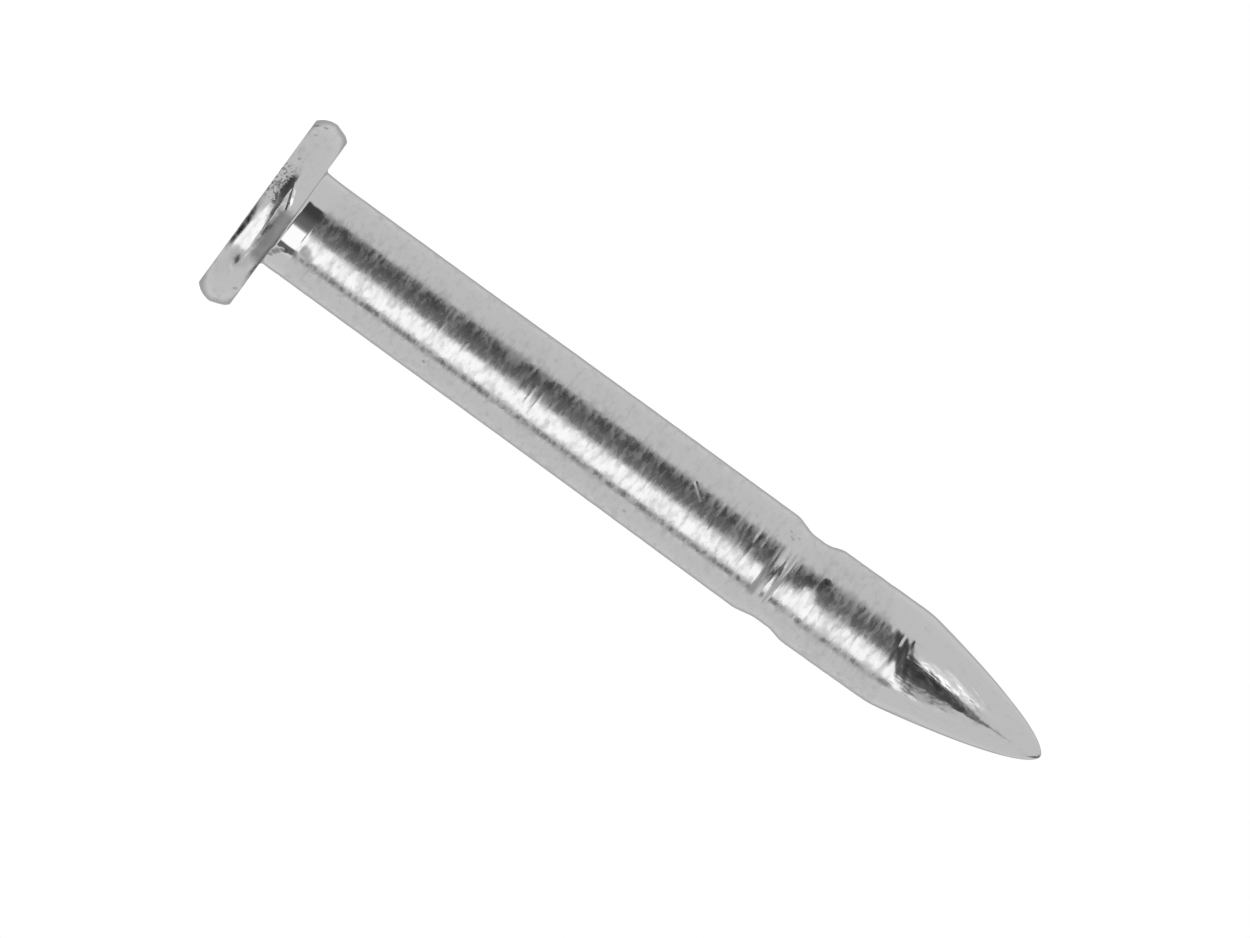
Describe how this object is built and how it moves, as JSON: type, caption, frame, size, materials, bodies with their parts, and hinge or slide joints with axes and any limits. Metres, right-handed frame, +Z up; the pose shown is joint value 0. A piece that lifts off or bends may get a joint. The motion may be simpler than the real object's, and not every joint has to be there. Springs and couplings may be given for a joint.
{
  "type": "drive nail",
  "caption": "Bright zinc-plated hardened drive nail with a thick flat head, a plain shank, a shallow waist and a blunt rounded point.",
  "frame": {"origin": "middle of the head's outer face, on the floor that the nail stands on head down", "axes": "+Z up, along the nail towards the point; +X to the side on which the head stands out further from the shank; +Y completes the right-handed frame"},
  "size_m": [0.0058, 0.0058, 0.0258],
  "materials": {
    "zinc_plated_steel": "bright zinc plate over hardened steel, with fine turned rings and forming marks"
  },
  "bodies": {
    "root": {"head": "zinc_plated_steel", "shank": "zinc_plated_steel", "waist": "zinc_plated_steel", "nose": "zinc_plated_steel", "point": "zinc_plated_steel"}
  },
  "joints": []
}
